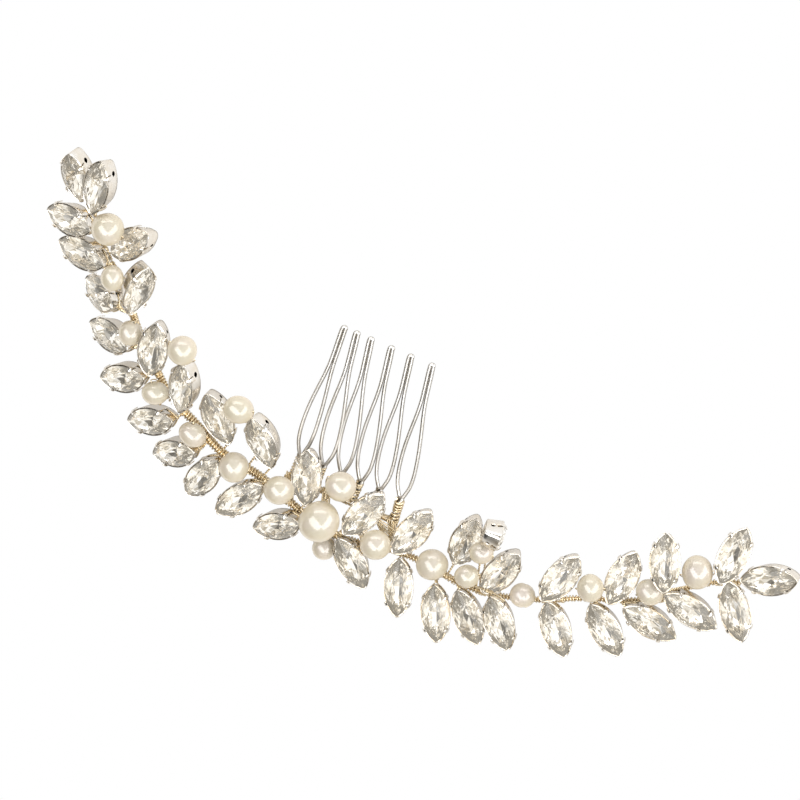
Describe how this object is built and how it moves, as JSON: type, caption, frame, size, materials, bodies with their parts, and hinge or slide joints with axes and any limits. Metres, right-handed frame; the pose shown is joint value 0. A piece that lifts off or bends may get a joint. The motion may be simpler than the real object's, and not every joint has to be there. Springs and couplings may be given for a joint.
{
  "type": "hair vine comb",
  "caption": "Curved hair vine of pointed oval crystals in claw settings and pearls on a wire stem, with a looped wire comb bound to its middle.",
  "frame": {"origin": "under the middle of the comb's bar, on the surface that the vine lies on", "axes": "+X along the comb's bar towards the vine's right end, +Y the way the comb's teeth point, +Z out of the vine's face, up from the surface"},
  "size_m": [0.201, 0.0885, 0.02],
  "materials": {
    "crystal": "clear faceted crystal with a foiled back",
    "setting_metal": "polished pale champagne plating",
    "pearl": "ivory pearl lustre",
    "gold_wire": "pale gold craft wire",
    "comb_wire": "silver wire with a pale gold tone"
  },
  "bodies": {
    "root": {"navette_01": "crystal", "navette_02": "crystal", "navette_03": "crystal", "navette_04": "crystal", "navette_05": "crystal", "navette_06": "crystal", "navette_07": "crystal", "navette_08": "crystal", "navette_09": "crystal", "navette_10": "crystal", "navette_11": "crystal", "navette_12": "crystal", "navette_13": "crystal", "navette_14": "crystal", "navette_15": "crystal", "navette_16": "crystal", "navette_17": "crystal", "navette_18": "crystal", "navette_19": "crystal", "navette_20": "crystal", "navette_21": "crystal", "navette_22": "crystal", "navette_23": "crystal", "navette_24": "crystal", "navette_25": "crystal", "navette_26": "crystal", "navette_27": "crystal", "navette_28": "crystal", "navette_29": "crystal", "navette_30": "crystal", "navette_31": "crystal", "navette_32": "crystal", "navette_33": "crystal", "navette_34": "crystal", "navette_35": "crystal", "navette_36": "crystal", "navette_37": "crystal", "navette_38": "crystal", "navette_39": "crystal", "settings_left": "setting_metal", "settings_centre": "setting_metal", "settings_right": "setting_metal", "pearls_left": "pearl", "pearls_centre": "pearl", "pearls_right": "pearl", "centre_pearl": "pearl", "stem": "gold_wire", "comb": "comb_wire"}
  },
  "joints": []
}
